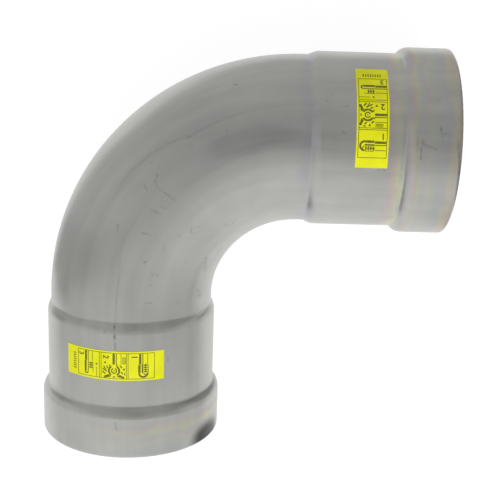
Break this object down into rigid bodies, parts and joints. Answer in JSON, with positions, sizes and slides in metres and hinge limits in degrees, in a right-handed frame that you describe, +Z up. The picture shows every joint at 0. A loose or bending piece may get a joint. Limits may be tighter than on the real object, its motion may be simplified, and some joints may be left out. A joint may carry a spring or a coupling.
{
  "type": "press fit elbow fitting",
  "caption": "Quarter-bend steel tube fitting with a press socket at each end; each socket has a stepped seat, a wider bead holding seal and grip rings, and a yellow label.",
  "frame": {"origin": "on the resting plane, under the middle of the elbow's box", "axes": "the bend lies in XY with +Z up; the front socket opens to -Y and the right socket to +X"},
  "size_m": [0.2804, 0.2804, 0.1276],
  "materials": {
    "plated_steel": "satin zinc-nickel plating over formed carbon steel, heat tinted",
    "seal_rubber": "yellow moulded sealing rubber",
    "stainless": "bright stainless steel",
    "label_film": "printed yellow film"
  },
  "bodies": {
    "root": {"elbow_body": "plated_steel", "front_seal_ring": "seal_rubber", "front_separator_ring": "stainless", "front_grip_ring": "stainless", "front_label": "label_film", "right_seal_ring": "seal_rubber", "right_separator_ring": "stainless", "right_grip_ring": "stainless", "right_label": "label_film"}
  },
  "joints": []
}
